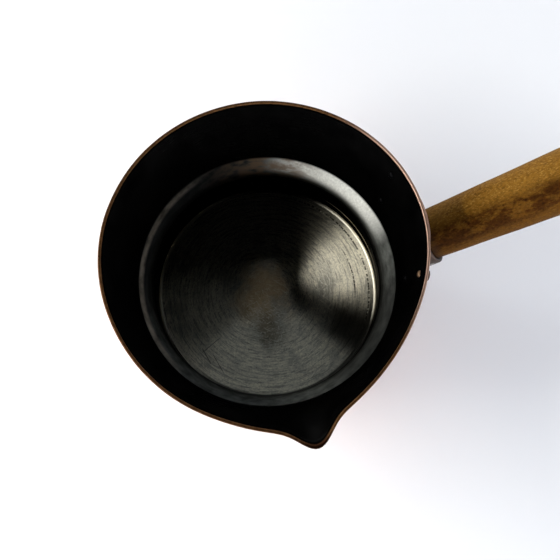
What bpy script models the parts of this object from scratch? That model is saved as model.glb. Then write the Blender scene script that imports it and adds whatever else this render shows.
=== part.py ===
"""A small copper coffee pot: tinned inside, with a pouring lip and a wooden handle.

Metres, +Z up. The origin is the middle of the flat base, the handle rises towards +X
and the pouring lip points towards -Y.
"""
import math

import bmesh
import bpy
from mathutils import Matrix, Vector

# Pot: the sheet, and the tinned face seen from above.
RIM_RADIUS = 0.0500
RIM_HEIGHT = 0.0465
COPPER = 0.0009
TIN = 0.00025
GAP = 0.0003
WALL = TIN + GAP + COPPER
FLOOR_RADIUS = 0.0379
FLOOR_FILLET = 0.0012
NECK_RADIUS = 0.0375
NECK_HEIGHT = 0.0138
SHOULDER_BEND = 0.0080
SHOULDER_TURN = math.radians(62)
TIN_EDGE_DROP = 0.0006
POT_STEPS = 72
BEND_STEPS = 3
WALL_RINGS = 5

# Pressed rim: each swelling is (share of the radius, direction, half width).
LIP_TIP = (0.110, math.radians(-90), math.radians(6.3))
LIP_FLARE = (0.056, math.radians(-92), math.radians(19))
RIM_FLAT = (-0.056, math.radians(-40), math.radians(34))
RIM_FLAT_FAR = (-0.012, math.radians(-163), math.radians(28))
PRESSED_FROM = 0.0240
PRESSED_SHARE_LIMIT = 1.1

# Handle line: it starts at the socket's mouth and rises away from the pot.
HANDLE_START = Vector((0.0553, 0.0, 0.0232))
HANDLE_RISE = math.radians(31.2)
HANDLE_LENGTH = 0.150
HANDLE_BELLY = 0.100
WOOD_RADIUS = 0.0083
WOOD_BELLY_RADIUS = 0.0108
WOOD_END_RADIUS = 0.0092
WOOD_END_DOME = 0.0075
WOOD_TENON_BACK = 0.0047
WOOD_RINGS = 10
WOOD_DOME_RINGS = 4

# Bracket: a shield riveted to the wall, with a tongue up to the rim and a socket on it.
SADDLE_THICKNESS = 0.0009
SADDLE_TOP = 0.0433
SADDLE_BOTTOM = 0.0240
SADDLE_TOP_HALF_ANGLE = math.radians(27)
SADDLE_BOTTOM_HALF_ANGLE = math.radians(20)
TONGUE_HALF_ANGLE = math.radians(10)
TONGUE_RISE = 0.0026
SADDLE_STEPS = 12
SADDLE_RINGS = 5
SOCKET_RADIUS = 0.0097
SOCKET_SLEEVE = 0.0065
SOCKET_ROOT_RADIUS = 0.0055
SOCKET_ROOT_BACK = 0.0200
SOCKET_EDGE = 0.0003
SOCKET_BORE_DEPTH = 0.0050
SOCKET_BORE_CLEAR = 0.0040
ROOT_BITE = 0.0003
HANDLE_SIDES = 32

# Fasteners.
TANG_RADIUS = 0.0026
TANG_BACK = 0.0097
TANG_REACH = 0.0500
TANG_POINT = 0.0050
TANG_HOLE_BACK = 0.0100
TANG_HOLE_REACH = TANG_REACH + 0.0010
TANG_HOLE_CLEAR = 0.0020
TANG_SIDES = 20
PIN_RADIUS = 0.0011
PIN_BACK = 0.0025
PIN_HALF_LENGTH = 0.0098
PIN_HOLE_CLEAR = 0.0020
PIN_SIDES = 16
RIVET_SHANK_RADIUS = 0.0009
RIVET_HEAD_RADIUS = 0.0016
RIVET_HEAD_HEIGHT = 0.0008
RIVET_HEAD_RINGS = 3
RIVET_SIDES = 16
RIVET_HOLE_LENGTH = 0.0100
RIVET_UPPER = (math.radians(20.5), 0.0415)
RIVET_LOWER = (math.radians(18.0), 0.0290)
FULL_TURN = 2 * math.pi
SMALL_TURN = 0.01
SMALL_LENGTH = 0.001


def clear_scene():
    for obj in list(bpy.data.objects):
        bpy.data.objects.remove(obj, do_unlink=True)


def new_collection(name):
    collection = bpy.data.collections.new(name)
    bpy.context.scene.collection.children.link(collection)
    return collection


def metal(name, colour, roughness, metallic=1.0):
    material = bpy.data.materials.new(name)
    material.use_nodes = True
    shader = material.node_tree.nodes["Principled BSDF"]
    shader.inputs["Base Color"].default_value = (*colour, 1.0)
    shader.inputs["Roughness"].default_value = roughness
    shader.inputs["Metallic"].default_value = metallic
    return material


def add_object(name, mesh, collection, material=None):
    obj = bpy.data.objects.new(name, mesh)
    collection.objects.link(obj)
    if material:
        mesh.materials.append(material)
    return obj


def shade(mesh, sharp_degrees=35):
    mesh.shade_smooth()
    mesh.set_sharp_from_angle(angle=math.radians(sharp_degrees))


def freeze(obj):
    """Replace the object's mesh and modifiers by the mesh that they make."""
    graph = bpy.context.evaluated_depsgraph_get()
    graph.update()
    mesh = bpy.data.meshes.new_from_object(obj.evaluated_get(graph))
    obj.modifiers.clear()
    obj.data = mesh
    return mesh


def turned(name, profile, steps, collection, angle=FULL_TURN, material=None):
    """Turn a profile of (radius, height) points about the object's own Z axis."""
    mesh = bpy.data.meshes.new(name)
    edges = [(i, i + 1) for i in range(len(profile) - 1)]
    mesh.from_pydata([(radius, 0, height) for radius, height in profile], edges, [])
    obj = add_object(name, mesh, collection, material)
    screw = obj.modifiers.new("turn", "SCREW")
    screw.axis = "Z"
    screw.angle = angle
    screw.steps = steps
    screw.render_steps = steps
    screw.use_merge_vertices = True
    screw.merge_threshold = 0.00001
    screw.use_smooth_shade = True
    return obj


def cut(obj, cutter, operation="DIFFERENCE"):
    boolean = obj.modifiers.new(operation.lower(), "BOOLEAN")
    boolean.object = cutter
    boolean.operation = operation
    boolean.solver = "EXACT"


def hide_guide(obj):
    obj.hide_render = True
    obj.display_type = "WIRE"
    return obj


# ---------------------------------------------------------------- the pot's shape

def tinned_profile():
    """The face seen from above: floor, low neck, rounded shoulder, flaring wall, rim."""
    points = [(0.0, WALL)]
    centre = (FLOOR_RADIUS - FLOOR_FILLET, WALL + FLOOR_FILLET)
    for step in range(BEND_STEPS + 1):
        turn = math.pi / 2 * (step / BEND_STEPS - 1)
        points.append((centre[0] + FLOOR_FILLET * math.cos(turn),
                       centre[1] + FLOOR_FILLET * math.sin(turn)))
    for step in range(BEND_STEPS + 1):
        turn = SHOULDER_TURN * step / BEND_STEPS
        points.append((NECK_RADIUS + SHOULDER_BEND * (1 - math.cos(turn)),
                       NECK_HEIGHT + SHOULDER_BEND * math.sin(turn)))
    low_radius, low_height = points[-1]
    rim_inner = RIM_RADIUS - WALL
    for ring in range(1, WALL_RINGS + 1):
        share = ring / WALL_RINGS
        points.append((low_radius + (rim_inner - low_radius) * share,
                       low_height + (RIM_HEIGHT - low_height) * share))
    return points


def offset_profile(points, distance, top=RIM_HEIGHT):
    """Move a profile outwards, and trim or extend its last stretch to the given height."""
    vectors = [Vector(point) for point in points]
    normals = []
    for start, end in zip(vectors, vectors[1:]):
        along = (end - start).normalized()
        normals.append(Vector((along.y, -along.x)))
    moved = []
    for index, point in enumerate(vectors):
        before = normals[max(index - 1, 0)]
        after = normals[min(index, len(normals) - 1)]
        middle = (before + after).normalized()
        moved.append(point + middle * distance / middle.dot(after))
    moved[0].x = 0.0
    last = moved[-1] - moved[-2]
    moved[-1] = moved[-2] + last * (top - moved[-2].y) / last.y
    return [(point.x, point.y) for point in moved]


def swelling(angle, shape):
    share, direction, width = shape
    away = math.remainder(angle - direction, FULL_TURN) / width
    return share * math.exp(-away * away)


def wall_share(radius, height):
    """How far up the pressed part of the wall a point lies, measured along the wall."""
    face = tinned_profile()
    low, high = Vector(face[-2]), Vector(face[-1])
    along = (high - low).normalized()
    foot = high - along * (high.y - PRESSED_FROM) / along.y
    share = (Vector((radius, height)) - foot).dot(along) / (high - foot).length
    return min(max(share, 0.0), PRESSED_SHARE_LIMIT)


def pressed_radius(radius, angle, height):
    """The rim is pressed out into the lip, and a little flat on both sides of it."""
    share = wall_share(radius, height)
    swell = sum(swelling(angle, shape) for shape in (LIP_TIP, LIP_FLARE, RIM_FLAT, RIM_FLAT_FAR))
    return radius * (1 + swell * share * share * (1.5 - 0.5 * share))


def press(mesh):
    for vertex in mesh.vertices:
        x, y, z = vertex.co
        radius = math.hypot(x, y)
        if radius > 0:
            scale = pressed_radius(radius, math.atan2(y, x), z) / radius
            vertex.co = (x * scale, y * scale, z)


def radius_at(profile, height):
    """Radius of the outer side of a profile at a height on the flaring wall."""
    for (low_radius, low), (high_radius, high) in zip(profile, profile[1:]):
        if low <= height <= high and high > low:
            return low_radius + (high_radius - low_radius) * (height - low) / (high - low)
    return profile[-1][0]


def wall_frame(angle, height):
    """A frame on the tinned face with its Z axis along the outward normal of the wall."""
    profile = tinned_profile()

    def point(turn, level):
        radius = pressed_radius(radius_at(profile, level), turn, level)
        return Vector((radius * math.cos(turn), radius * math.sin(turn), level))

    place = point(angle, height)
    around = point(angle + SMALL_TURN, height) - place
    upward = point(angle, height + SMALL_LENGTH) - place
    outward = around.cross(upward).normalized()
    side = around.normalized()
    rotation = Matrix((side, outward.cross(side), outward)).transposed()
    return Matrix.Translation(place) @ rotation.to_4x4()


# ---------------------------------------------------------------- pieces of the pot

def split_quads(mesh):
    """Split twisted faces the same way on both sides of the sheet, so layers never cross."""
    bm = bmesh.new()
    bm.from_mesh(mesh)
    bmesh.ops.triangulate(bm, faces=bm.faces, quad_method="SHORT_EDGE")
    bm.to_mesh(mesh)
    bm.free()


def shell(name, inner, outer, collection, material=None):
    obj = turned(name, inner + outer[::-1], POT_STEPS, collection, material=material)
    press(freeze(obj))
    split_quads(obj.data)
    shade(obj.data)
    return obj


def make_pot_body(parts, hole_cutter):
    face = tinned_profile()
    copper = metal("copper", (0.42, 0.20, 0.13), 0.38)
    body = shell("pot_body", offset_profile(face, TIN + GAP), offset_profile(face, WALL), parts, copper)
    cut(body, hole_cutter)
    return body


def make_tin_lining(parts, hole_cutter):
    face = tinned_profile()
    edge = RIM_HEIGHT - TIN_EDGE_DROP
    tin = metal("tin", (0.20, 0.20, 0.19), 0.42)
    inner = offset_profile(face, 0.0, edge)
    outer = offset_profile(face, TIN, edge)
    lining = shell("tin_lining", inner, outer, parts, tin)
    cut(lining, hole_cutter)
    return lining


# ---------------------------------------------------------------- bracket and socket

def on_handle(obj, handle_frame):
    obj.parent = handle_frame
    return obj


def make_handle_frame(parts):
    """An empty at the socket's mouth, with its Z axis along the handle."""
    empty = bpy.data.objects.new("handle_frame", None)
    parts.objects.link(empty)
    empty.location = HANDLE_START
    empty.rotation_euler = (0, math.pi / 2 - HANDLE_RISE, 0)
    bpy.context.view_layer.update()
    return empty


def pot_envelope(cutters):
    """The pot's outside with a little clearance, as one solid, to trim the socket's root."""
    outside = offset_profile(tinned_profile(), WALL + GAP + ROOT_BITE)
    floor = outside[0][1]
    profile = [(0.0, RIM_HEIGHT)] + outside[::-1]
    profile[-1] = (0.0, floor)
    obj = turned("pot_envelope", profile, POT_STEPS, cutters)
    press(freeze(obj))
    return hide_guide(obj)


def socket_blank(cutters, handle_frame):
    profile = [(0.0, 0.0),
               (SOCKET_RADIUS - SOCKET_EDGE, 0.0),
               (SOCKET_RADIUS, -SOCKET_EDGE),
               (SOCKET_RADIUS, -SOCKET_SLEEVE),
               (SOCKET_ROOT_RADIUS, -SOCKET_ROOT_BACK),
               (0.0, -SOCKET_ROOT_BACK)]
    blank = on_handle(turned("socket_blank", profile, HANDLE_SIDES, cutters), handle_frame)
    cut(blank, pot_envelope(cutters))
    return hide_guide(blank)


def socket_bore(cutters, handle_frame):
    """The stepped hole of the socket: wide for the wood, narrow for the tang."""
    bore = WOOD_RADIUS + GAP
    tang_hole = TANG_RADIUS + GAP
    profile = [(0.0, SOCKET_BORE_CLEAR),
               (bore, SOCKET_BORE_CLEAR),
               (bore, -SOCKET_BORE_DEPTH),
               (tang_hole, -SOCKET_BORE_DEPTH),
               (tang_hole, -TANG_HOLE_BACK),
               (0.0, -TANG_HOLE_BACK)]
    return hide_guide(on_handle(turned("socket_bore", profile, HANDLE_SIDES, cutters), handle_frame))


def pin_hole(cutters, handle_frame):
    obj = rod("pin_hole", PIN_RADIUS + GAP, PIN_HALF_LENGTH + PIN_HOLE_CLEAR, cutters)
    return hide_guide(place_pin(obj, handle_frame))


def saddle_sheet(parts):
    """The shield's inner face as an open sheet, wrapped round the wall."""
    profile = offset_profile(tinned_profile(), WALL + GAP)
    half = SADDLE_TOP_HALF_ANGLE
    height = SADDLE_TOP - SADDLE_BOTTOM
    line = [(RIM_RADIUS, SADDLE_TOP - height * ring / SADDLE_RINGS) for ring in range(SADDLE_RINGS + 1)]
    obj = turned("handle_bracket", line, SADDLE_STEPS, parts, angle=2 * half)
    mesh = freeze(obj)
    for vertex in mesh.vertices:
        x, y, z = vertex.co
        share = (z - SADDLE_BOTTOM) / height
        full_angle = math.atan2(y, x) - half
        narrowed = SADDLE_BOTTOM_HALF_ANGLE + (half - SADDLE_BOTTOM_HALF_ANGLE) * share
        angle = full_angle * narrowed / half
        tongue = TONGUE_RISE if abs(full_angle) < TONGUE_HALF_ANGLE else 0.0
        level = SADDLE_BOTTOM + (height + tongue) * share
        radius = radius_at(profile, level)
        vertex.co = (radius * math.cos(angle), radius * math.sin(angle), level)
    press(mesh)
    return obj


def make_handle_bracket(parts, cutters, handle_frame, hole_cutter):
    bracket = saddle_sheet(parts)
    bracket.data.materials.append(metal("bracket_brass", (0.16, 0.10, 0.07), 0.5))
    thicken = bracket.modifiers.new("thickness", "SOLIDIFY")
    thicken.thickness = SADDLE_THICKNESS
    thicken.offset = 1.0
    cut(bracket, socket_blank(cutters, handle_frame), "UNION")
    cut(bracket, socket_bore(cutters, handle_frame))
    cut(bracket, pin_hole(cutters, handle_frame))
    cut(bracket, hole_cutter)
    return bracket


# ---------------------------------------------------------------- rivets

def rivet_places():
    places = {}
    for level, (angle, height) in (("upper", RIVET_UPPER), ("lower", RIVET_LOWER)):
        places[f"rivet_{level}_near"] = wall_frame(-angle, height)
        places[f"rivet_{level}_far"] = wall_frame(angle, height)
    return places


def rivet_hole_cutter(cutters):
    """One cutter with a straight hole for every rivet."""
    bm = bmesh.new()
    for place in rivet_places().values():
        middle = Matrix.Translation((0, 0, WALL))
        bmesh.ops.create_cone(bm, cap_ends=True, segments=RIVET_SIDES, depth=RIVET_HOLE_LENGTH,
                              radius1=RIVET_SHANK_RADIUS + GAP,
                              radius2=RIVET_SHANK_RADIUS + GAP, matrix=place @ middle)
    mesh = bpy.data.meshes.new("rivet_holes")
    bm.to_mesh(mesh)
    bm.free()
    return hide_guide(add_object("rivet_holes", mesh, cutters))


def rivet_profile():
    """A shank between two low domes, from the outer dome down to the inner one."""
    outside = WALL + GAP + SADDLE_THICKNESS + GAP
    outer = []
    inner = []
    for step in range(RIVET_HEAD_RINGS + 1):
        turn = math.pi / 2 * step / RIVET_HEAD_RINGS
        reach = RIVET_HEAD_RADIUS * math.sin(turn)
        rise = RIVET_HEAD_HEIGHT * math.cos(turn)
        outer.append((reach, outside + rise))
        inner.append((reach, -GAP - rise))
    shank = [(RIVET_SHANK_RADIUS, outside), (RIVET_SHANK_RADIUS, -GAP)]
    return outer + shank + inner[::-1]


def make_rivets(parts):
    material = metal("rivet_copper", (0.38, 0.25, 0.16), 0.4)
    profile = rivet_profile()
    for name, place in rivet_places().items():
        rivet = turned(name, profile, RIVET_SIDES, parts, material=material)
        rivet.matrix_world = place


# ---------------------------------------------------------------- handle

def rod(name, radius, half_length, collection, material=None):
    mesh = bpy.data.meshes.new(name)
    bm = bmesh.new()
    bmesh.ops.create_cone(bm, cap_ends=True, segments=PIN_SIDES, radius1=radius, radius2=radius,
                          depth=2 * half_length)
    bm.to_mesh(mesh)
    bm.free()
    shade(mesh)
    return add_object(name, mesh, collection, material)


def place_pin(obj, handle_frame):
    obj.parent = handle_frame
    obj.location = (0, 0, -PIN_BACK)
    obj.rotation_euler = (math.pi / 2, 0, 0)
    return obj


def wood_radius(along):
    """Slim at the socket, fullest towards the palm, then drawn in to the end."""
    if along <= HANDLE_BELLY:
        share = along / HANDLE_BELLY
        return WOOD_RADIUS + (WOOD_BELLY_RADIUS - WOOD_RADIUS) * (1.35 * share - 0.35 * share ** 3)
    share = (along - HANDLE_BELLY) / (HANDLE_LENGTH - HANDLE_BELLY)
    return WOOD_BELLY_RADIUS + (WOOD_END_RADIUS - WOOD_BELLY_RADIUS) * share * share


def wood_profile():
    """From the rounded free end down the outer side to the tenon in the socket."""
    start = HANDLE_LENGTH - WOOD_END_DOME
    points = []
    for step in range(WOOD_DOME_RINGS + 1):
        turn = math.pi / 2 * step / WOOD_DOME_RINGS
        points.append((wood_radius(start) * math.sin(turn), start + WOOD_END_DOME * math.cos(turn)))
    for step in range(WOOD_RINGS - 1, 0, -1):
        along = start * step / WOOD_RINGS
        points.append((wood_radius(along), along))
    points.append((WOOD_RADIUS, 0.0))
    points.append((WOOD_RADIUS, -WOOD_TENON_BACK))
    points.append((0.0, -WOOD_TENON_BACK))
    return points


def tang_bore(cutters, handle_frame):
    radius = TANG_RADIUS + GAP
    back = -WOOD_TENON_BACK - TANG_HOLE_CLEAR
    profile = [(0.0, TANG_HOLE_REACH),
               (radius, TANG_HOLE_REACH - TANG_POINT),
               (radius, back),
               (0.0, back)]
    return hide_guide(on_handle(turned("tang_bore", profile, TANG_SIDES, cutters), handle_frame))


def make_wooden_handle(parts, cutters, handle_frame):
    wood = metal("wood", (0.30, 0.18, 0.07), 0.6, metallic=0.0)
    handle = turned("wooden_handle", wood_profile(), HANDLE_SIDES, parts, material=wood)
    on_handle(handle, handle_frame)
    cut(handle, tang_bore(cutters, handle_frame))
    cut(handle, bpy.data.objects["pin_hole"])


def make_handle_tang(parts, handle_frame):
    steel = metal("tang_steel", (0.40, 0.40, 0.40), 0.45)
    profile = [(0.0, TANG_REACH),
               (TANG_RADIUS, TANG_REACH - TANG_POINT),
               (TANG_RADIUS, -TANG_BACK),
               (0.0, -TANG_BACK)]
    tang = on_handle(turned("handle_tang", profile, TANG_SIDES, parts, material=steel), handle_frame)
    cut(tang, bpy.data.objects["pin_hole"])


def make_socket_pin(parts, handle_frame):
    steel = metal("pin_steel", (0.35, 0.33, 0.30), 0.45)
    pin = rod("socket_pin", PIN_RADIUS, PIN_HALF_LENGTH, parts, steel)
    place_pin(pin, handle_frame)


def main():
    clear_scene()
    parts = new_collection("coffee_pot")
    cutters = new_collection("cutters")
    handle_frame = make_handle_frame(parts)
    holes = rivet_hole_cutter(cutters)
    make_pot_body(parts, holes)
    make_tin_lining(parts, holes)
    make_handle_bracket(parts, cutters, handle_frame, holes)
    make_rivets(parts)
    make_wooden_handle(parts, cutters, handle_frame)
    make_handle_tang(parts, handle_frame)
    make_socket_pin(parts, handle_frame)


main()
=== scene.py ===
"""The looks of the coffee pot: hammered copper, dark tin with a turned floor, cast bracket, wood.

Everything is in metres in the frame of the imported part: +Z up, origin in the middle of the
base, the handle rising towards +X and the pouring lip towards -Y.
"""
import math

import bmesh
import bpy
from mathutils import Matrix, Vector, noise


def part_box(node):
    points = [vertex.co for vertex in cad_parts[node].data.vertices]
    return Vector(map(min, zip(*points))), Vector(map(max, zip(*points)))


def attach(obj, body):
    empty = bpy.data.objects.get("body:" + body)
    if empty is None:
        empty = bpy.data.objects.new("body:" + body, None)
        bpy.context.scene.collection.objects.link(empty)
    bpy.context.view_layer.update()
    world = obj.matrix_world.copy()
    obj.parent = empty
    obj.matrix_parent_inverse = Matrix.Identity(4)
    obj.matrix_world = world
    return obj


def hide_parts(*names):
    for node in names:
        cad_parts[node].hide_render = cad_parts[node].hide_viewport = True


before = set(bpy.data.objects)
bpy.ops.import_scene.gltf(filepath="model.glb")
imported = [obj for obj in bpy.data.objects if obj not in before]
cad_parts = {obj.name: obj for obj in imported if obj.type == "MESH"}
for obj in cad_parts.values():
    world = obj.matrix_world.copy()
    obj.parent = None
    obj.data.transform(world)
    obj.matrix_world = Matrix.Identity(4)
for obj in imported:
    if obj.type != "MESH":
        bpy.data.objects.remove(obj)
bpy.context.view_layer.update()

FULL_TURN = 2 * math.pi
MM = 0.001

# The pot's sizes. The rim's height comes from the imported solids, the rest are the part's own.
RIM_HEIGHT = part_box("pot_body")[1].z
RIM_RADIUS = 50.0 * MM
COPPER = 0.9 * MM
TIN = 0.25 * MM
GAP = 0.3 * MM
WALL = TIN + GAP + COPPER
FLOOR_RADIUS = 37.9 * MM
FLOOR_FILLET = 1.2 * MM
FLAT_FLOOR_TOP = WALL + 0.05 * MM
NECK_RADIUS = 37.5 * MM
NECK_HEIGHT = 13.8 * MM
SHOULDER_BEND = 8.0 * MM
SHOULDER_TURN = math.radians(62)
TIN_EDGE_DROP = 0.6 * MM
TIN_CLEARANCE = 0.01 * MM
RIM_ROUNDING = 0.36 * MM
BEATEN_DEPTH = 0.10 * MM
BEATEN_SIZE = 9.0 * MM

# Where the rim is pressed out or in: share of the radius, direction and width.
LIP_TIP = (0.110, math.radians(-90), math.radians(6.3))
LIP_FLARE = (0.056, math.radians(-92), math.radians(19))
RIM_FLAT = (-0.056, math.radians(-40), math.radians(34))
RIM_FLAT_FAR = (-0.012, math.radians(-163), math.radians(28))
PRESSED_FROM = 24.0 * MM

# The handle's line, and the wood on it.
HANDLE_START = Vector((55.3, 0.0, 23.2)) * MM
HANDLE_RISE = math.radians(31.2)
HANDLE_LENGTH = 150.0 * MM
HANDLE_BELLY = 100.0 * MM
WOOD_RADIUS = 8.3 * MM
WOOD_BELLY_RADIUS = 10.8 * MM
WOOD_END_RADIUS = 9.2 * MM
WOOD_END_DOME = 7.5 * MM
WOOD_TENON_BACK = 4.7 * MM
WOOD_WORN_SHARE = 0.022
WOOD_WORN_SIZE = 14.0 * MM
WOOD_WORN_FROM = 2.0 * MM
TANG_HOLE_RADIUS = 2.9 * MM
TANG_HOLE_REACH = 51.0 * MM
TANG_POINT = 5.0 * MM

# The bracket: the socket at the handle's start, and the shield that holds it to the wall.
SOCKET_RADIUS = 9.7 * MM
SOCKET_SLEEVE = 6.5 * MM
SOCKET_ROOT_RADIUS = 5.5 * MM
SOCKET_ROOT_BACK = 20.0 * MM
SOCKET_BORE_DEPTH = 5.0 * MM
SOCKET_BORE_RADIUS = WOOD_RADIUS + 0.12 * MM
SOCKET_LIP_ROUNDING = 0.35 * MM
SHIELD_THICKNESS = 0.9 * MM
SHIELD_TOP = 43.3 * MM
SHIELD_BOTTOM = 24.0 * MM
SHIELD_TOP_HALF_ANGLE = math.radians(27)
SHIELD_BOTTOM_HALF_ANGLE = math.radians(20)
TONGUE_HALF_ANGLE = math.radians(10)
TONGUE_RISE = 2.6 * MM
TONGUE_BLEND = math.radians(3.0)
SHIELD_CORNER = 0.12
SHIELD_CORNER_ANGLE = math.radians(2.6)
SHIELD_FEATHER = 0.22
SHIELD_EDGE_SHARE = 0.30
BRACKET_GAP = 0.05 * MM
BRACKET_VOXEL = 0.24 * MM

# The pin and the rivets.
PIN_RADIUS = 1.1 * MM
PIN_BACK = 2.5 * MM
PIN_HALF_LENGTH = 9.8 * MM
PIN_END_DOME = 0.35 * MM
RIVET_SHANK_RADIUS = 0.9 * MM
RIVET_HEAD_RADIUS = 1.6 * MM
RIVET_HEAD_HEIGHT = 0.8 * MM
RIVET_OUTER_HEIGHT_SHARE = 0.45
RIVET_INNER_RADIUS_SHARE = 0.75
RIVET_TUCK = 0.05 * MM
RIVET_BEATEN_SHARE = 0.10
RIVET_PLACES = {
    "rivet_upper_near": (math.radians(-20.5), 41.5 * MM),
    "rivet_upper_far": (math.radians(20.5), 41.5 * MM),
    "rivet_lower_near": (math.radians(-18.0), 29.0 * MM),
    "rivet_lower_far": (math.radians(18.0), 29.0 * MM),
}

# How fine the visible meshes are.
POT_STEPS = 360
POT_OUTSIDE_STEPS = 180
HANDLE_STEPS = 96
SMALL_STEPS = 32
SHIELD_COLUMNS, SHIELD_ROWS = 72, 36


# ---------------------------------------------------------------- mesh helpers

def add_object(name, data):
    made = bpy.data.objects.new(name, data)
    bpy.context.scene.collection.objects.link(made)
    return made


def add_piece(name, mesh, materials, replaced, place=None):
    piece = add_object(name, mesh)
    if place is not None:
        mesh.transform(place)
    for material in materials:
        mesh.materials.append(material)
    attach(piece, "root")
    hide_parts(replaced)


def smooth(mesh, sharp_degrees=50):
    mesh.shade_smooth()
    mesh.set_sharp_from_angle(angle=math.radians(sharp_degrees))
    return mesh


def revolve(name, profile, steps, shape=None):
    """Turn a profile of (radius, height) points into a closed mesh.

    shape(angle, radius, height) may move each point, and gives its x, y and z.
    """
    def turned(angle, radius, height):
        return radius * math.cos(angle), radius * math.sin(angle), height

    shape = shape or turned
    draft = bmesh.new()
    rings = []
    for radius, height in profile:
        if radius == 0:
            rings.append([draft.verts.new(shape(0.0, 0.0, height))])
            continue
        angles = (FULL_TURN * step / steps for step in range(steps))
        rings.append([draft.verts.new(shape(angle, radius, height)) for angle in angles])
    for low, high in zip(rings, rings[1:]):
        for step in range(steps):
            after = (step + 1) % steps
            corners = [low[step % len(low)], low[after % len(low)],
                       high[after % len(high)], high[step % len(high)]]
            corners = list(dict.fromkeys(corners))
            if len(corners) > 2:
                draft.faces.new(corners)
    if profile[0] == profile[-1]:
        bmesh.ops.remove_doubles(draft, verts=rings[0] + rings[-1], dist=1e-9)
    bmesh.ops.recalc_face_normals(draft, faces=draft.faces)
    return finished(name, draft)


def finished(name, draft):
    mesh = bpy.data.meshes.new(name)
    draft.to_mesh(mesh)
    draft.free()
    return mesh


def with_modifiers(piece):
    """The mesh that an object's modifiers make of it."""
    graph = bpy.context.evaluated_depsgraph_get()
    graph.update()
    return bpy.data.meshes.new_from_object(piece.evaluated_get(graph))


def boolean(piece, other, operation):
    cut = piece.modifiers.new(operation.lower(), "BOOLEAN")
    cut.object = other
    cut.operation = operation
    cut.solver = "EXACT"


def arc(centre, radius, start_degrees, end_degrees, steps):
    points = []
    for step in range(steps + 1):
        turn = math.radians(start_degrees + (end_degrees - start_degrees) * step / steps)
        points.append((centre[0] + radius * math.cos(turn), centre[1] + radius * math.sin(turn)))
    return points


def line(start, end, steps, ends=False):
    """Points between two points, without the two ends unless they are asked for."""
    first, last = (0, steps + 1) if ends else (1, steps)
    return [(start[0] + (end[0] - start[0]) * step / steps,
             start[1] + (end[1] - start[1]) * step / steps) for step in range(first, last)]


def dome(radius, base, rise, steps):
    """A dome's outline from its pole to its edge; where rise is negative the pole is below."""
    turns = [math.pi / 2 * step / steps for step in range(1, steps + 1)]
    rounded = [(radius * math.sin(turn), base + rise * math.cos(turn)) for turn in turns]
    return [(0.0, base + rise)] + rounded


# ---------------------------------------------------------------- the pot's shape

def tinned_profile():
    """The face seen from above: floor, low neck, rounded shoulder, flaring wall, rim."""
    flat = FLOOR_RADIUS - FLOOR_FILLET
    points = line((0.0, WALL), (flat, WALL), steps=18, ends=True)
    points += arc((flat, WALL + FLOOR_FILLET), FLOOR_FILLET, -90, 0, steps=6)[1:]
    points += line(points[-1], (NECK_RADIUS, NECK_HEIGHT), steps=6)
    last = 180 - math.degrees(SHOULDER_TURN)
    points += arc((NECK_RADIUS + SHOULDER_BEND, NECK_HEIGHT), SHOULDER_BEND, 180, last, steps=12)
    points += line(points[-1], (RIM_RADIUS - WALL, RIM_HEIGHT), steps=28)
    points.append((RIM_RADIUS - WALL, RIM_HEIGHT))
    return points


def offset_face(distance, top=RIM_HEIGHT):
    """Move the tinned face outwards, and trim or extend its last stretch to the given height."""
    vectors = [Vector(point) for point in FACE]
    normals = []
    for start, end in zip(vectors, vectors[1:]):
        along = (end - start).normalized()
        normals.append(Vector((along.y, -along.x)))
    moved = []
    for index, point in enumerate(vectors):
        before = normals[max(index - 1, 0)]
        after = normals[min(index, len(normals) - 1)]
        middle = (before + after).normalized()
        moved.append(point + middle * distance / middle.dot(after))
    moved[0].x = 0.0
    last = moved[-1] - moved[-2]
    moved[-1] = moved[-2] + last * (top - moved[-2].y) / last.y
    return [(point.x, point.y) for point in moved]


FACE = tinned_profile()
FACE_LOW, FACE_HIGH = Vector(FACE[-2]), Vector(FACE[-1])
FACE_ALONG = (FACE_HIGH - FACE_LOW).normalized()
FACE_FOOT = FACE_HIGH - FACE_ALONG * (FACE_HIGH.y - PRESSED_FROM) / FACE_ALONG.y
SHOULDER_HEIGHT = NECK_HEIGHT + SHOULDER_BEND * math.sin(SHOULDER_TURN)


def swelling(angle, shape):
    """The share of the radius that one pressed shape adds at an angle."""
    share, direction, width = shape
    away = math.remainder(angle - direction, FULL_TURN) / width
    return share * math.exp(-away * away)


def pressed_radius(radius, angle, height):
    """The rim is pressed out into the lip and is a little flat beside it; the wall follows it."""
    share = (Vector((radius, height)) - FACE_FOOT).dot(FACE_ALONG) / (FACE_HIGH - FACE_FOOT).length
    share = min(max(share, 0.0), 1.1)
    swell = sum(swelling(angle, shape) for shape in (LIP_TIP, LIP_FLARE, RIM_FLAT, RIM_FLAT_FAR))
    return radius * (1 + swell * share * share * (1.5 - 0.5 * share))


def pot_point(angle, radius, height):
    """A point of the pot, pressed, and slightly uneven as beaten sheet is, which only moves it inwards."""
    radius = pressed_radius(radius, angle, height)
    x, y = radius * math.cos(angle), radius * math.sin(angle)
    if radius > 0 and height > NECK_HEIGHT:
        spot = Vector((math.cos(angle), math.sin(angle), 0)) * RIM_RADIUS
        spot.z = height
        beaten = noise.noise(spot / BEATEN_SIZE) * 0.5 + 0.5
        fade = min((height - NECK_HEIGHT) / (SHOULDER_HEIGHT - NECK_HEIGHT), 1.0)
        scale = 1 - beaten * fade * BEATEN_DEPTH / radius
        x, y = x * scale, y * scale
    return x, y, height


def radius_at(profile, height):
    for (low_radius, low), (high_radius, high) in zip(profile, profile[1:]):
        if low <= height <= high and high > low:
            return low_radius + (high_radius - low_radius) * (height - low) / (high - low)
    return profile[-1][0]


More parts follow.
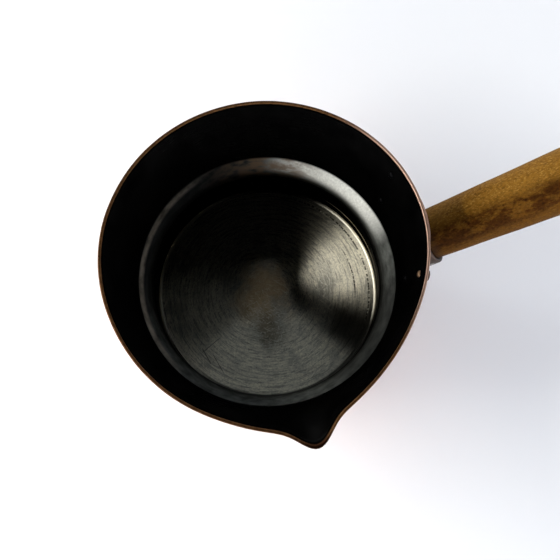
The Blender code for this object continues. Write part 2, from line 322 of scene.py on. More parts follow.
def wall_frame(angle, height):
    """A frame on the tinned face with its Z axis along the outward normal of the wall."""
    def point(turn, level):
        radius = pressed_radius(radius_at(FACE, level), turn, level)
        return Vector((radius * math.cos(turn), radius * math.sin(turn), level))

    place = point(angle, height)
    around = point(angle + 0.01, height) - place
    upward = point(angle, height + MM) - place
    outward = around.cross(upward).normalized()
    side = around.normalized()
    rotation = Matrix((side, outward.cross(side), outward)).transposed()
    return Matrix.Translation(place) @ rotation.to_4x4()


def handle_frame():
    """A frame at the socket's mouth, with its Z axis along the handle."""
    turn = Matrix.Rotation(math.pi / 2 - HANDLE_RISE, 4, "Y")
    return Matrix.Translation(HANDLE_START) @ turn


# ---------------------------------------------------------------- node helpers

def colour(value):
    if isinstance(value, tuple) and len(value) == 3:
        return (*value, 1.0)
    return value


class Nodes:
    """Short calls for the nodes that are used again and again."""

    def __init__(self, tree):
        self.tree = tree

    def node(self, kind, **settings):
        made = self.tree.nodes.new(kind)
        for key, value in settings.items():
            setattr(made, key, value)
        return made

    def feed(self, socket, value):
        if isinstance(value, bpy.types.NodeSocket):
            self.tree.links.new(value, socket)
        else:
            socket.default_value = value

    def math(self, operation, *values):
        made = self.node("ShaderNodeMath", operation=operation)
        for socket, value in zip(made.inputs, values):
            self.feed(socket, value)
        return made.outputs[0]

    def times(self, first, second):
        return self.math("MULTIPLY", first, second)

    def plus(self, first, second):
        return self.math("ADD", first, second)

    def minus(self, first, second):
        return self.math("SUBTRACT", first, second)

    def larger(self, first, second):
        return self.math("MAXIMUM", first, second)

    def length(self, x, y):
        return self.math("SQRT", self.plus(self.times(x, x), self.times(y, y)))

    def split(self, vector):
        made = self.node("ShaderNodeSeparateXYZ")
        self.feed(made.inputs[0], vector)
        return made.outputs

    def join(self, x, y, z):
        made = self.node("ShaderNodeCombineXYZ")
        for socket, value in zip(made.inputs, (x, y, z)):
            self.feed(socket, value)
        return made.outputs[0]

    def map_range(self, kind, *values):
        made = self.node("ShaderNodeMapRange", interpolation_type=kind)
        for socket, value in zip(made.inputs, values):
            self.feed(socket, value)
        return made.outputs[0]

    def step(self, value, low, high, first=0.0, second=1.0):
        """The first number below low, the second above high, smooth between; low may be the larger."""
        return self.map_range("SMOOTHSTEP", value, low, high, first, second)

    def spread(self, value, low, high):
        """Stretch a noise value of about 0.3 to 0.7 over the given range."""
        return self.map_range("LINEAR", value, 0.3, 0.7, low, high)

    def near(self, value, middle, full, none):
        """1 where a value is within full of the middle, 0 where it is further off than none."""
        return self.step(self.math("ABSOLUTE", self.minus(value, middle)), none, full)


class Material(Nodes):
    """A node material, with places measured from the part's origin unless a frame is chosen."""

    def __init__(self, name, roughness=0.5, metallic=0.0, **constants):
        self.material = bpy.data.materials.new(name)
        self.material.use_nodes = True
        super().__init__(self.material.node_tree)
        self.shader = self.tree.nodes["Principled BSDF"]
        self.shader.inputs["Roughness"].default_value = roughness
        self.shader.inputs["Metallic"].default_value = metallic
        for socket, value in constants.items():
            self.shader.inputs[socket.replace("_", " ")].default_value = value
        self.place = self.node("ShaderNodeTexCoord").outputs["Object"]

    def use_handle_frame(self):
        """Measure places from the socket's mouth, with z along the handle."""
        made = self.node("ShaderNodeMapping", vector_type="TEXTURE")
        self.feed(made.inputs["Vector"], self.place)
        made.inputs["Location"].default_value = HANDLE_START
        made.inputs["Rotation"].default_value = (0.0, math.pi / 2 - HANDLE_RISE, 0.0)
        self.place = made.outputs[0]

    def use_pot_frame(self):
        """Also measure the distance from the pot's axis, the direction round it, and the height."""
        x, y, self.height = self.split(self.place)
        self.radius, self.cosine, self.sine = self.polar(x, y, 0.1 * MM)

    def polar(self, x, y, least):
        """Length and direction of (x, y); the direction fades where the length is under least."""
        radius = self.length(x, y)
        safe = self.larger(radius, least)
        return radius, self.math("DIVIDE", x, safe), self.math("DIVIDE", y, safe)

    def towards(self, degrees, inner, outer):
        """1 within inner degrees of a direction round the pot, 0 beyond outer degrees."""
        turn = math.radians(degrees)
        share = self.plus(self.times(self.cosine, math.cos(turn)), self.times(self.sine, math.sin(turn)))
        return self.step(share, math.cos(math.radians(outer)), math.cos(math.radians(inner)))

    def rings(self, across, around):
        """A place for noise that makes rings round the pot's axis."""
        return self.join(self.times(self.radius, across), self.times(self.cosine, around),
                         self.times(self.sine, around))

    def beside(self, place):
        """How far x and y are from a place on the floor, given in millimetres."""
        x, y, _ = self.split(self.place)
        return self.minus(x, place[0] * MM), self.minus(y, place[1] * MM)

    def drawn_out(self, share):
        """A place for noise, drawn out along z where the share is under 1."""
        x, y, z = self.split(self.place)
        return self.join(x, y, self.times(z, share))

    def noise(self, vector, scale, detail=3.0, roughness=0.55, distortion=0.0):
        made = self.node("ShaderNodeTexNoise")
        self.feed(made.inputs["Vector"], vector)
        made.inputs["Scale"].default_value = scale
        made.inputs["Detail"].default_value = detail
        made.inputs["Roughness"].default_value = roughness
        made.inputs["Distortion"].default_value = distortion
        return made.outputs["Fac"]

    def mix(self, factor, first, second):
        made = self.node("ShaderNodeMix", data_type="RGBA")
        self.feed(made.inputs[0], factor)
        self.feed(made.inputs[6], colour(first))
        self.feed(made.inputs[7], colour(second))
        return made.outputs[2]

    def paint(self, tone, mask, most, second):
        """Lay a second colour over a tone where the mask says, and at most by the given share."""
        return self.mix(self.times(mask, most), tone, second)

    def bump(self, height, depth):
        made = self.node("ShaderNodeBump")
        self.feed(made.inputs["Height"], height)
        made.inputs["Distance"].default_value = depth
        self.feed(self.shader.inputs["Normal"], made.outputs[0])

    def finish(self, base_colour, roughness=None):
        self.feed(self.shader.inputs["Base Color"], base_colour)
        if roughness is not None:
            self.feed(self.shader.inputs["Roughness"], roughness)
        return self.material


# ---------------------------------------------------------------- the turned floor

# Marks on the floor. Places in pairs are in millimetres from the middle of the base.
SEAM_RADIUS = 35.5 * MM
ARC_RADIUS = 30.6 * MM
BURN_PLACE = (-2.1, -11.9)
BURN_RADIUS = 11.5 * MM
SCRATCH_WIDTH = 0.14 * MM
SCRATCHES = (
    ((-19.5, -11.5), (-27.5, -15.5)),
    ((-24.0, -16.0), (-21.5, -24.5)),
    ((-27.0, -13.0), (-25.0, -20.5)),
)
# Each swirl has a centre, the length of its marks and a number that sets it apart from the others.
SWIRLS = (
    ((11.0, 3.0), 7.0, 3.1),
    ((-9.0, -12.0), 6.0, 8.7),
    ((2.0, -24.0), 8.0, 14.3),
)


def scratch(look, start, end):
    """A thin straight scratch between two places on the floor."""
    stretch = (Vector(end) - Vector(start)) * MM
    along = stretch.normalized()
    x, y = look.beside(start)
    forward = look.plus(look.times(x, along.x), look.times(y, along.y))
    across = look.plus(look.times(x, -along.y), look.times(y, along.x))
    inside = look.near(forward, stretch.length / 2, stretch.length / 3, stretch.length / 2)
    return look.times(inside, look.near(across, 0.0, 0.3 * SCRATCH_WIDTH, SCRATCH_WIDTH))


def swirl(look, centre, length, seed):
    """Fine scrubbing marks round a centre of their own."""
    radius, cosine, sine = look.polar(*look.beside(centre), 0.5 * MM)
    place = look.join(look.plus(look.times(radius, 2600.0), seed), look.times(cosine, length),
                      look.times(sine, length))
    return look.step(look.noise(place, 1.0, detail=2.0, roughness=0.5), 0.58, 0.70)


def brush_floor(look):
    """The direction of the brushing for the shader, a little scattered, and most near the middle."""
    middle = look.step(look.radius, 12.0 * MM, 4.0 * MM)
    scatter = look.plus(0.35, look.times(middle, 9.0))
    scrub = look.times(look.minus(look.noise(look.place, 2800.0, detail=2.0), 0.5), scatter)
    tangent = look.join(look.minus(look.cosine, look.times(look.sine, scrub)),
                        look.plus(look.sine, look.times(look.cosine, scrub)), 0.0)
    look.feed(look.shader.inputs["Tangent"], tangent)


def floor_cuts(look):
    """A dotted seam near the wall, a short dark arc inside it, and the long scratches."""
    dots = look.noise(look.join(look.times(look.cosine, 42.0), look.times(look.sine, 42.0), 0.0), 1.0,
                      detail=1.0)
    seam = look.times(look.near(look.radius, SEAM_RADIUS, 0.16 * MM, 0.38 * MM), look.step(dots, 0.42, 0.52))
    seam = look.times(seam, look.plus(0.12, look.times(look.towards(8.0, 34.0, 58.0), 0.88)))
    dark_arc = look.times(look.near(look.radius, ARC_RADIUS, 0.08 * MM, 0.34 * MM),
                          look.towards(-1.0, 8.0, 21.0))
    cuts = look.larger(seam, look.times(dark_arc, look.step(dots, 0.36, 0.48)))
    for start, end in SCRATCHES:
        cuts = look.larger(cuts, scratch(look, start, end))
    return cuts


def tin_floor_material():
    """Tin turned on a lathe and scrubbed since: ring marks, swirls, a browned middle, scratches."""
    look = Material("tin_floor", roughness=0.43, Anisotropic=1.0)
    look.use_pot_frame()
    brush_floor(look)
    marks = look.noise(look.rings(2100.0, 3.0), 1.0, detail=4.0, roughness=0.7)
    bands = look.noise(look.rings(420.0, 1.4), 1.0, detail=2.0)
    hair = look.noise(look.rings(1700.0, 3.4), 1.0, detail=3.0, roughness=0.8, distortion=0.3)
    stains = look.noise(look.place, 75.0, detail=5.0, roughness=0.6)
    mottle = look.noise(look.place, 1500.0, detail=3.0, roughness=0.75)
    unevenness = look.minus(stains, 0.5)

    # Worn and brown in the middle, except on the side of the handle, and duller opposite it.
    ragged = look.plus(look.radius, look.times(unevenness, 25.0 * MM))
    handle_side = look.times(look.towards(3.0, 25.0, 50.0), look.step(look.radius, 5.0 * MM, 10.0 * MM))
    brown = look.times(look.step(ragged, 16.0 * MM, 4.0 * MM), look.minus(1.0, handle_side))
    far_side = look.times(look.towards(195.0, 25.0, 80.0), look.step(look.radius, 0.0, 8.0 * MM))
    dulled = look.larger(look.times(brown, 0.65), look.times(far_side, 0.28))
    look.feed(look.shader.inputs["Metallic"], look.minus(1.0, dulled))

    # A burnt patch on the side of the lip, painted shade in the corner there, and a painted shadow in a
    # sector beside it.
    burnt = look.plus(look.length(*look.beside(BURN_PLACE)), look.times(unevenness, 30.0 * MM))
    painted_corner_shade = look.times(look.step(look.radius, 35.5 * MM, 36.2 * MM), look.towards(-80.0, 45.0, 85.0))
    painted_shadow_sector = look.times(look.towards(-39.0, 4.0, 17.0), look.step(look.radius, 19.0 * MM, 28.0 * MM))

    swirls = 0.0
    for centre, length, seed in SWIRLS:
        swirls = look.plus(swirls, swirl(look, centre, length, seed))
    cuts = floor_cuts(look)

    tone = look.mix(look.spread(marks, 0.0, 1.0), (0.62, 0.58, 0.46), (1.0, 0.95, 0.77))
    tone = look.paint(tone, look.step(mottle, 0.46, 0.62), 0.38, (0.14, 0.13, 0.10))
    tone = look.mix(look.spread(bands, 0.0, 0.25), tone, (0.50, 0.48, 0.42))
    tone = look.paint(tone, look.step(hair, 0.50, 0.60), 0.62, (0.20, 0.19, 0.16))
    tone = look.paint(tone, brown, 0.75, (0.66, 0.44, 0.20))
    tone = look.paint(tone, look.step(stains, 0.48, 0.66), 0.55, (0.20, 0.20, 0.18))
    tone = look.paint(tone, look.step(burnt, BURN_RADIUS, 0.5 * MM), 0.70, (0.07, 0.06, 0.045))
    tone = look.paint(tone, swirls, 0.35, (1.0, 0.95, 0.78))
    # The painted shade in the corner and the painted shadow sector, laid on as near-black tin.
    tone = look.paint(tone, look.larger(painted_corner_shade, painted_shadow_sector), 0.88, (0.03, 0.027, 0.022))
    tone = look.paint(tone, cuts, 0.92, (0.03, 0.027, 0.020))
    look.bump(look.plus(look.plus(marks, mottle), look.times(cuts, -3.0)), 0.010 * MM)
    return look.finish(tone)


# ---------------------------------------------------------------- the other materials

# Heights of the marks and painted highlights on the tinned wall.
HIGHLIGHT_LINE_HEIGHT = 7.2 * MM
FOOT_HEIGHT = WALL + 1.3 * MM
WORN_FROM = 14.5 * MM
EDGE_HIGHLIGHT_HEIGHT = SHOULDER_HEIGHT - 0.4 * MM

# Where the copper and the wood change their colour.
RIM_BAND = 1.6 * MM
SOOT_HEIGHT = 9.0 * MM
LIP_FROM, LIP_TO = -53.0 * MM, -57.0 * MM
HANDLE_SIDE_FROM, HANDLE_SIDE_TO = 30.0 * MM, 46.0 * MM
RUBBED_FROM, RUBBED_TO = 44.3 * MM, 45.3 * MM
SCORCH_LENGTH = 4.0 * MM


def worn_tin_with_painted_light(look, streaks):
    """Grey worn tin, with a painted highlight almost white on one side, coppery beside that, and painted
    shade, dim, on two others.
    """
    grains = look.noise(look.place, 1400.0, detail=3.0)
    # Painted highlight: near-white tin on the upper shoulder on one side, where the light falls on it.
    painted_shoulder_highlight = look.times(look.towards(41.0, 10.0, 40.0),
                        look.step(look.height, SHOULDER_HEIGHT - 4.8 * MM, SHOULDER_HEIGHT - 1.8 * MM))
    coppery = look.times(look.towards(80.0, 8.0, 34.0), look.step(streaks, 0.30, 0.62))
    # Painted shade: the shoulder laid almost black on two sides, where no light reaches it.
    painted_shoulder_shade = look.larger(look.towards(140.0, 25.0, 60.0), look.towards(-45.0, 8.0, 42.0))
    tone = look.mix(look.spread(streaks, 0.0, 1.0), (0.030, 0.032, 0.029), (0.120, 0.127, 0.115))
    tone = look.paint(tone, painted_shoulder_highlight, 0.92, (0.98, 0.99, 0.92))
    tone = look.paint(tone, look.spread(grains, 0.0, 1.0), 0.25, (0.03, 0.03, 0.028))
    tone = look.paint(tone, coppery, 0.85, (0.17, 0.108, 0.062))
    return look.paint(tone, painted_shoulder_shade, 0.75, (0.006, 0.006, 0.0055))


def tin_wall_material():
    """Tin gone black on the wall, and worn on the shoulder, with painted highlights: a line below the
    shoulder, the shoulder's top edge on one side, and the foot on the lit sides.
    """
    look = Material("tin_wall", Specular_Tint=(0.15, 0.15, 0.15, 1.0))
    look.use_pot_frame()
    clouds = look.noise(look.place, 110.0, detail=5.0, roughness=0.6)
    streaks = look.join(look.times(look.cosine, 9.0), look.times(look.sine, 9.0),
                        look.times(look.height, 900.0))
    streaks = look.noise(streaks, 1.0, detail=3.0)

    shoulder = look.times(look.step(look.height, WORN_FROM, SHOULDER_HEIGHT - 1.4 * MM),
                          look.step(look.height, SHOULDER_HEIGHT + 1.0 * MM, SHOULDER_HEIGHT - 0.2 * MM))
    # Painted highlight: a thin light line on one side of the wall below the shoulder, where light catches
    # it.
    painted_highlight_line = look.times(look.near(look.height, HIGHLIGHT_LINE_HEIGHT, 0.1 * MM, 0.5 * MM),
                       look.towards(12.0, 14.0, 34.0))
    lit_sides = look.larger(look.towards(140.0, 25.0, 60.0), look.towards(8.0, 22.0, 42.0))
    # Painted highlight: light tin at the foot of the wall, almost only on the lit sides.
    painted_foot_highlight = look.times(look.step(look.height, FOOT_HEIGHT, FOOT_HEIGHT - 0.4 * MM),
                      look.plus(0.02, look.times(lit_sides, 0.98)))
    # Painted highlight: a light streaked line along the shoulder's top edge on one side.
    painted_edge_highlight = look.times(look.near(look.height, EDGE_HIGHLIGHT_HEIGHT, 0.1 * MM, 0.8 * MM),
                           look.towards(160.0, 30.0, 58.0))

    black = look.mix(look.spread(clouds, 0.0, 1.0), (0.001, 0.001, 0.001), (0.005, 0.0048, 0.0044))
    tone = look.mix(shoulder, black, worn_tin_with_painted_light(look, streaks))
    tone = look.paint(tone, painted_highlight_line, 0.9, (0.85, 0.76, 0.58))
    tone = look.mix(painted_foot_highlight, tone, (0.60, 0.57, 0.47))
    tone = look.mix(look.times(painted_edge_highlight, look.spread(streaks, 0.2, 0.9)), tone, (0.42, 0.36, 0.28))
    look.feed(look.shader.inputs["Metallic"], look.minus(1.0, look.times(shoulder, 0.85)))
    look.bump(look.plus(clouds, look.times(streaks, 0.5)), 0.05 * MM)
    return look.finish(tone, look.plus(0.44, look.times(shoulder, 0.12)))


def copper_material():
    """Old copper gone brown, darker on the rim and the lip, and paler on the handle's side of the rim,
    partly rubbed and partly a painted highlight.
    """
    look = Material("old_copper", metallic=1.0)
    x, y, z = look.split(look.place)
    clouds = look.noise(look.place, 70.0, detail=5.0, roughness=0.6)
    specks = look.noise(look.place, 900.0, detail=2.0)
    rim = look.step(z, RIM_HEIGHT - RIM_BAND, RIM_HEIGHT - 0.5 * MM)
    # Paler rim on the handle's side: partly rubbed copper, partly a painted highlight where the light falls.
    rubbed_and_highlit = look.times(rim, look.step(x, HANDLE_SIDE_FROM, HANDLE_SIDE_TO))
    # The rim made much darker towards the lip.
    lip_darkening = look.times(rim, look.step(y, LIP_FROM, LIP_TO))
    soot = look.times(look.step(z, SOOT_HEIGHT, 0.0), look.spread(clouds, 0.2, 0.9))
    tone = look.mix(look.spread(clouds, 0.0, 1.0), (0.20, 0.085, 0.045), (0.42, 0.195, 0.11))
    tone = look.paint(tone, look.step(specks, 0.56, 0.68), 0.35, (0.09, 0.042, 0.026))
    rim_tone = look.mix(look.spread(specks, 0.0, 1.0), (0.045, 0.020, 0.007), (0.105, 0.051, 0.020))
    tone = look.mix(rim, tone, rim_tone)
    tone = look.paint(tone, rubbed_and_highlit, 0.7, (0.40, 0.26, 0.19))
    tone = look.paint(tone, lip_darkening, 0.90, (0.014, 0.0040, 0.0014))
    tone = look.mix(soot, tone, (0.05, 0.03, 0.022))
    look.bump(look.plus(clouds, look.times(specks, 0.15)), 0.06 * MM)
    return look.finish(tone, look.plus(0.32, look.times(clouds, 0.22)))


def bracket_material():
    """Dark cast metal, rubbed lighter on the top of the shield."""
    look = Material("cast_bracket", metallic=0.6, Specular_IOR_Level=0.25)
    clouds = look.noise(look.place, 160.0, detail=5.0, roughness=0.6)
    grains = look.noise(look.place, 1500.0, detail=2.0)
    rubbed = look.step(look.split(look.place)[2], RUBBED_FROM, RUBBED_TO)
    tone = look.mix(look.spread(clouds, 0.0, 1.0), (0.014, 0.009, 0.006), (0.045, 0.027, 0.018))
    tone = look.paint(tone, look.step(grains, 0.55, 0.7), 0.4, (0.07, 0.045, 0.03))
    tone = look.paint(tone, rubbed, 0.8, (0.34, 0.20, 0.15))
    look.bump(look.plus(grains, clouds), 0.08 * MM)
    return look.finish(tone, look.plus(0.36, look.times(grains, 0.25)))


def rivet_material(name, inner_tone):
    """Copper on the outer head, and a colour of its own on the head inside the pot."""
    look = Material(name, metallic=1.0, Specular_Tint=(0.15, 0.15, 0.15, 1.0))
    look.use_pot_frame()
    clouds = look.noise(look.place, 900.0, detail=3.0)
    slope = FACE_ALONG.x / FACE_ALONG.y
    face_radius = look.plus(RIM_RADIUS - WALL - RIM_HEIGHT * slope, look.times(look.height, slope))
    outside = look.step(look.minus(look.radius, face_radius), 0.2 * MM, 0.8 * MM)
    darker_tone = tuple(0.5 * part for part in inner_tone)
    inner = look.mix(look.spread(clouds, 0.0, 1.0), inner_tone, darker_tone)
    outer = look.mix(look.spread(clouds, 0.0, 1.0), (0.09, 0.055, 0.036), (0.20, 0.125, 0.080))
    look.bump(clouds, 0.06 * MM)
    return look.finish(look.mix(outside, inner, outer), look.plus(0.34, look.times(clouds, 0.2)))


def steel_material():
    look = Material("plain_steel", metallic=1.0)
    clouds = look.noise(look.place, 700.0, detail=3.0)
    tone = look.mix(look.spread(clouds, 0.0, 1.0), (0.24, 0.22, 0.20), (0.46, 0.44, 0.41))
    look.bump(clouds, 0.03 * MM)
    return look.finish(tone, look.plus(0.30, look.times(clouds, 0.25)))


def wood_material():
    """Ochre wood, speckled, darker on the lip's side from dark streaks and painted shade, with dark islands
    there, and scorched at the socket.
    """
    look = Material("handle_wood", roughness=0.72, Specular_IOR_Level=0.06,
                    Specular_Tint=(0.40, 0.24, 0.08, 1.0))
    look.use_handle_frame()
    _, side, along = look.split(look.place)
    grain = look.noise(look.drawn_out(0.10), 330.0, detail=5.0, roughness=0.6, distortion=0.5)
    speckle = look.noise(look.drawn_out(0.75), 1350.0, detail=3.0, roughness=0.65)
    flecks = look.noise(look.drawn_out(0.45), 2700.0, detail=2.0)
    blotches = look.noise(look.drawn_out(0.40), 110.0, detail=4.0, distortion=0.6)
    islands = look.noise(look.drawn_out(0.50), 300.0, detail=6.0, roughness=0.68, distortion=0.2)

    # Darker on the lip's side: partly dark streaks in the wood, partly painted shade on the side turned from
    # the light.
    streaks_and_painted_shade = look.step(side, 2.5 * MM, -4.0 * MM)
    band = look.times(look.step(side, 0.3 * MM, -3.2 * MM), look.step(side, -8.8 * MM, -6.8 * MM))
    dark = look.times(look.step(islands, 0.40, 0.54), band)
    scorch = look.times(look.step(along, SCORCH_LENGTH, 0.3 * MM), look.spread(blotches, 0.5, 0.95))
    speckled = look.spread(speckle, 0.1, 0.9)
    brown = look.mix(speckled, (0.010, 0.0030, 0.0006), (0.052, 0.0175, 0.0022))
    black = look.mix(speckled, (0.004, 0.0012, 0.0004), (0.030, 0.0085, 0.0015))

    tone = look.mix(look.spread(speckle, 0.0, 1.0), (0.040, 0.015, 0.0016), (0.165, 0.078, 0.010))
    tone = look.mix(look.spread(grain, 0.0, 0.45), tone, (0.080, 0.033, 0.003))
    tone = look.mix(look.spread(blotches, 0.0, 0.45), tone, (0.150, 0.074, 0.012))
    tone = look.paint(tone, look.step(flecks, 0.54, 0.66), 0.45, (0.26, 0.145, 0.034))
    tone = look.paint(tone, streaks_and_painted_shade, 0.75, brown)
    tone = look.paint(tone, dark, 0.85, black)
    tone = look.mix(scorch, tone, (0.018, 0.009, 0.005))
    look.bump(look.plus(look.times(grain, 0.6), look.times(speckle, 0.4)), 0.16 * MM)
    return look.finish(tone, look.plus(0.60, look.times(grain, 0.25)))


def table_material():
    look = Material("pale_table", roughness=0.7)
    clouds = look.noise(look.place, 4.0, detail=2.0)
    return look.finish(look.mix(look.spread(clouds, 0.0, 1.0), (0.86, 0.87, 0.87), (0.89, 0.90, 0.90)))


# ---------------------------------------------------------------- pieces of the pot

def make_tinned_inside():
    """The tin, filling the gap to the copper. Its flat floor has a material of its own."""
    edge = RIM_HEIGHT - TIN_EDGE_DROP
    inner = offset_face(0.0, edge)
    outer = offset_face(TIN + GAP - TIN_CLEARANCE, edge)
    profile = inner + outer[::-1]
    mesh = smooth(revolve("tinned_inside", profile, POT_STEPS, pot_point), sharp_degrees=60)
    materials = [tin_wall_material(), tin_floor_material()]
    add_piece("tinned_inside", mesh, materials, "tin_lining")
    for face in mesh.polygons:
        if face.center.z < FLAT_FLOOR_TOP and face.normal.z > 0.9:
            face.material_index = 1


def make_copper_pot():
    """The copper sheet with its worn, rounded rim."""
    inner = offset_face(TIN + GAP, RIM_HEIGHT - RIM_ROUNDING)
    outer = offset_face(WALL, RIM_HEIGHT - RIM_ROUNDING)
    inner_edge = arc((inner[-1][0] + RIM_ROUNDING, inner[-1][1]), RIM_ROUNDING, 180, 90, steps=5)[1:]
    outer_edge = arc((outer[-1][0] - RIM_ROUNDING, outer[-1][1]), RIM_ROUNDING, 90, 0, steps=5)[:-1]
    profile = inner + inner_edge + outer_edge + outer[::-1]
    mesh = smooth(revolve("copper_pot", profile, POT_STEPS, pot_point), sharp_degrees=60)
    add_piece("copper_pot", mesh, [copper_material()], "pot_body")


def make_rivets():
    """Each has a flat domed head on the bracket and a smaller one on the tin."""
    plain = rivet_material("rivet_copper", (0.003, 0.003, 0.003))
    rubbed = rivet_material("rivet_rubbed", (0.17, 0.105, 0.060))
    outside = WALL + GAP + SHIELD_THICKNESS
    outer_height = RIVET_OUTER_HEIGHT_SHARE * RIVET_HEAD_HEIGHT
    inner_radius = RIVET_INNER_RADIUS_SHARE * RIVET_HEAD_RADIUS
    outer_head = dome(RIVET_HEAD_RADIUS, outside, outer_height, steps=8)
    inner_head = dome(inner_radius, 0.0, -RIVET_HEAD_HEIGHT, steps=8)
    shank = [(RIVET_SHANK_RADIUS, outside - RIVET_TUCK), (RIVET_SHANK_RADIUS, RIVET_TUCK)]
    profile = outer_head + shank + inner_head[::-1]
    for name, (angle, height) in RIVET_PLACES.items():
        mesh = smooth(revolve("closed_" + name, profile, SMALL_STEPS, beaten_head(angle)))
        material = rubbed if name == "rivet_upper_near" else plain
        add_piece("closed_" + name, mesh, [material], name, wall_frame(angle, height))


def beaten_head(seed):
    """A rivet head closed with a hammer is never quite round."""
    def shape(angle, radius, height):
        spot = Vector((math.cos(angle), math.sin(angle), 7.0 * seed + height / MM))
        radius *= 1 - RIVET_BEATEN_SHARE * abs(noise.noise(spot))
        return radius * math.cos(angle), radius * math.sin(angle), height
    return shape


# ---------------------------------------------------------------- bracket

def shield_sheet():
    """The shield as an open sheet on the wall, with rounded corners and a tongue to the rim.

    It comes with a number for each point, from 0 at the feathered edge to 1 where it is thickest.
    """
    outside = offset_face(WALL + BRACKET_GAP)
    draft = bmesh.new()
    grid = []
    inward = []
    for row in range(SHIELD_ROWS + 1):
        share = row / SHIELD_ROWS
        from_end = 0.5 - abs(share - 0.5)
        corner = max(SHIELD_CORNER - from_end, 0.0) / SHIELD_CORNER
        half = SHIELD_BOTTOM_HALF_ANGLE + (SHIELD_TOP_HALF_ANGLE - SHIELD_BOTTOM_HALF_ANGLE) * share
        half -= SHIELD_CORNER_ANGLE * (1 - math.sqrt(max(1 - corner * corner, 0.0)))
        points = []
        for column in range(SHIELD_COLUMNS + 1):
            across = 2 * column / SHIELD_COLUMNS - 1
            over = (abs(across) * SHIELD_TOP_HALF_ANGLE - TONGUE_HALF_ANGLE) / TONGUE_BLEND
            tongue = TONGUE_RISE * (0.5 - 0.5 * math.tanh(over))
            level = SHIELD_BOTTOM + (SHIELD_TOP - SHIELD_BOTTOM + tongue) * share
            edge = min((1 - abs(across)) / SHIELD_FEATHER, 2 * from_end / SHIELD_FEATHER, 1.0)
            inward.append(edge * (2 - edge))
            points.append(draft.verts.new(pot_point(across * half, radius_at(outside, level), level)))
        grid.append(points)
    for low, high in zip(grid, grid[1:]):
        for column in range(SHIELD_COLUMNS):
            draft.faces.new((low[column], low[column + 1], high[column + 1], high[column]))
    return finished("shield_sheet", draft), inward


def socket_solid(pot_outside):
    """The socket with its bore, its root trimmed to fit the pot."""
    lip = SOCKET_LIP_ROUNDING
    bore = SOCKET_BORE_RADIUS
    profile = [(0.0, -SOCKET_ROOT_BACK),
               (SOCKET_ROOT_RADIUS, -SOCKET_ROOT_BACK),
               (SOCKET_RADIUS, -SOCKET_SLEEVE)]
    profile += arc((SOCKET_RADIUS - lip, -lip), lip, 0, 90, steps=4)
    profile += arc((bore + lip, -lip), lip, 90, 180, steps=4)
    profile += [(bore, -SOCKET_BORE_DEPTH), (0.0, -SOCKET_BORE_DEPTH)]
    socket = add_object("socket_solid", revolve("socket_solid", profile, HANDLE_STEPS))
    socket.matrix_world = handle_frame()
    boolean(socket, pot_outside, "DIFFERENCE")
    return socket


def pot_outside_solid():
    outside = offset_face(WALL + BRACKET_GAP)
    profile = [(0.0, RIM_HEIGHT)] + outside[::-1]
    return add_object("pot_outside", revolve("pot_outside", profile, POT_OUTSIDE_STEPS, pot_point))


def make_bracket():
    """Shield and socket cast in one: joined, then melted together so that the joint is soft."""
    pot_outside = pot_outside_solid()
    socket = socket_solid(pot_outside)
    sheet, inward = shield_sheet()
    blank = add_object("bracket_blank", sheet)
    thick = blank.vertex_groups.new(name="thick")
    for index, share in enumerate(inward):
        thick.add([index], share, "REPLACE")
    thicken = blank.modifiers.new("thickness", "SOLIDIFY")
    thicken.thickness = GAP + SHIELD_THICKNESS - BRACKET_GAP
    thicken.offset = 1.0
    thicken.vertex_group = "thick"
    thicken.thickness_vertex_group = SHIELD_EDGE_SHARE
    boolean(blank, socket, "UNION")
    melt = blank.modifiers.new("melt", "REMESH")
    melt.mode = "VOXEL"
    melt.voxel_size = BRACKET_VOXEL
    soften = blank.modifiers.new("soften", "SMOOTH")
    soften.factor = 0.5
    soften.iterations = 3
    mesh = with_modifiers(blank)
    for helper in (blank, socket, pot_outside):
        bpy.data.objects.remove(helper, do_unlink=True)
    mesh.name = "cast_bracket"
    mesh.shade_smooth()
    add_piece("cast_bracket", mesh, [bracket_material()], "handle_bracket")


# ---------------------------------------------------------------- handle

def wood_radius(along):
    """Slim at the socket, fullest towards the palm, then drawn in to the end."""
    if along <= HANDLE_BELLY:
        share = max(along, 0.0) / HANDLE_BELLY
        return WOOD_RADIUS + (WOOD_BELLY_RADIUS - WOOD_RADIUS) * (1.35 * share - 0.35 * share ** 3)
    share = (along - HANDLE_BELLY) / (HANDLE_LENGTH - HANDLE_BELLY)
    return WOOD_BELLY_RADIUS + (WOOD_END_RADIUS - WOOD_BELLY_RADIUS) * share * share


def worn_wood(angle, radius, height):
    """Hand-finished wood: a tenth of a millimetre or so off a true turning, and only inwards."""
    spot = Vector((math.cos(angle) * 1.2, math.sin(angle) * 1.2, height / WOOD_WORN_SIZE))
    worn = noise.noise(spot) * 0.5 + 0.5
    fade = min(max(height / WOOD_WORN_FROM, 0.0), 1.0)
    radius *= 1 - WOOD_WORN_SHARE * worn * fade
    return radius * math.cos(angle), radius * math.sin(angle), height


def make_wooden_handle():
    start = HANDLE_LENGTH - WOOD_END_DOME
    profile = [(0.0, TANG_HOLE_REACH), (TANG_HOLE_RADIUS, TANG_HOLE_REACH - TANG_POINT),
               (TANG_HOLE_RADIUS, -WOOD_TENON_BACK), (WOOD_RADIUS, -WOOD_TENON_BACK)]
    stations = line((0, 0), (0, start), steps=110, ends=True)
    profile += [(wood_radius(along), along) for _, along in stations]
    profile += dome(wood_radius(start), start, WOOD_END_DOME, steps=16)[-2::-1]
    mesh = smooth(revolve("turned_handle", profile, HANDLE_STEPS, worn_wood))
    add_piece("turned_handle", mesh, [wood_material()], "wooden_handle", handle_frame())


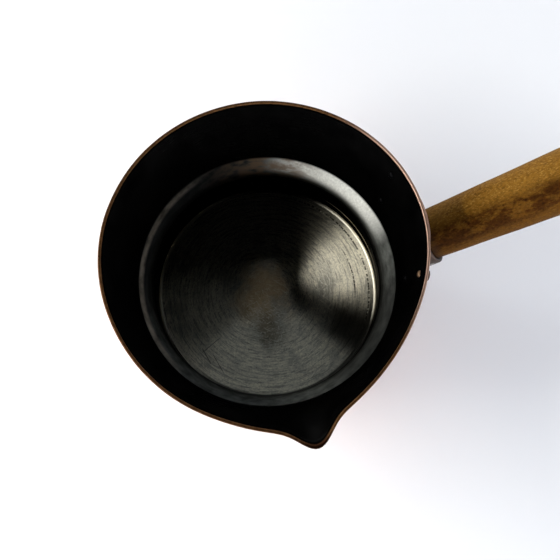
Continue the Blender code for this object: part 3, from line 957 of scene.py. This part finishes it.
def make_socket_pin():
    """A steel pin whose two ends are filed to low domes."""
    profile = dome(PIN_RADIUS, PIN_END_DOME - PIN_HALF_LENGTH, -PIN_END_DOME, steps=5)
    profile += [(radius, -height) for radius, height in reversed(profile)]
    mesh = smooth(revolve("filed_pin", profile, SMALL_STEPS))
    across = Matrix.Translation((0, 0, -PIN_BACK)) @ Matrix.Rotation(math.pi / 2, 4, "X")
    add_piece("filed_pin", mesh, [steel_material()], "socket_pin", handle_frame() @ across)


def finish_tang():
    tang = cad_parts["handle_tang"]
    tang.data.materials.clear()
    tang.data.materials.append(steel_material())


# ---------------------------------------------------------------- stage, light and camera

VIEW_TURN = math.radians(-14.75)
VIEW_TILT = math.radians(15.0)
VIEW_YAW = math.radians(-0.54)
VIEW_PLACE = Vector((-15.1, -64.5, 264.2)) * MM
VIEW_LENS = 49.7
TABLE_HALF = 3.0

# The room is bright up to the ring's top and dark above it. Heights are those of a unit sphere.
RING_TOP = 0.22
CEILING_FROM = 0.42
RING_STRENGTH = 8.8
CEILING_STRENGTH = 0.003
ROOM_LEAN = 0.40
ROOM_COLOUR = (0.89, 0.915, 1.0, 1.0)


def from_view(x, y, z):
    """A direction given as seen in the picture: x to the right, y up in it, z towards the sky."""
    return Matrix.Rotation(VIEW_TURN, 3, "Z") @ Vector((x, y, z))


def make_table():
    draft = bmesh.new()
    bmesh.ops.create_grid(draft, x_segments=8, y_segments=8, size=TABLE_HALF)
    table = add_object("table", finished("table", draft))
    table.data.materials.append(table_material())


def add_softbox(name, direction, distance, size, power, tint):
    light = bpy.data.lights.new(name, "AREA")
    light.shape = "RECTANGLE"
    light.size, light.size_y = size
    light.energy = power
    light.color = tint
    lamp = add_object(name, light)
    lamp.location = direction.normalized() * distance
    lamp.rotation_euler = direction.to_track_quat("Z", "Y").to_euler()


def make_light():
    """A small bright window close on the left, and a wide, much dimmer one behind."""
    add_softbox("window_left", from_view(-0.802, -0.060, 0.595), distance=0.48, size=(0.32, 0.026),
                power=1.90, tint=(1.0, 0.98, 0.93))
    add_softbox("window_top", from_view(-0.04, 0.69, 0.72), distance=1.8, size=(1.6, 0.30),
                power=3.9, tint=(0.93, 1.0, 1.06))


def make_world():
    """Light from low all round, more of it from the front left, and a dark ceiling above."""
    world = bpy.data.worlds.new("room")
    world.use_nodes = True
    room = Nodes(world.node_tree)
    place = room.node("ShaderNodeTexCoord").outputs["Generated"]
    ring = room.step(room.split(place)[2], RING_TOP, CEILING_FROM, RING_STRENGTH, CEILING_STRENGTH)
    lean = room.node("ShaderNodeVectorMath", operation="DOT_PRODUCT")
    room.feed(lean.inputs[0], place)
    room.feed(lean.inputs[1], from_view(-0.45, -0.89, 0.0) * ROOM_LEAN)
    background = room.tree.nodes["Background"]
    room.feed(background.inputs["Strength"], room.times(room.plus(lean.outputs["Value"], 1.0), ring))
    room.feed(background.inputs["Color"], ROOM_COLOUR)
    bpy.context.scene.world = world


def make_camera():
    camera = bpy.data.cameras.new("camera")
    camera.lens = VIEW_LENS
    camera.clip_start = 0.01
    eye = add_object("camera", camera)
    eye.location = VIEW_PLACE
    eye.rotation_euler = (VIEW_TILT, VIEW_YAW, VIEW_TURN)
    bpy.context.scene.camera = eye


def main():
    bpy.context.scene.view_settings.view_transform = "Standard"
    make_camera()
    make_world()
    make_table()
    make_light()
    make_copper_pot()
    make_tinned_inside()
    make_bracket()
    make_rivets()
    make_wooden_handle()
    make_socket_pin()
    finish_tang()


main()
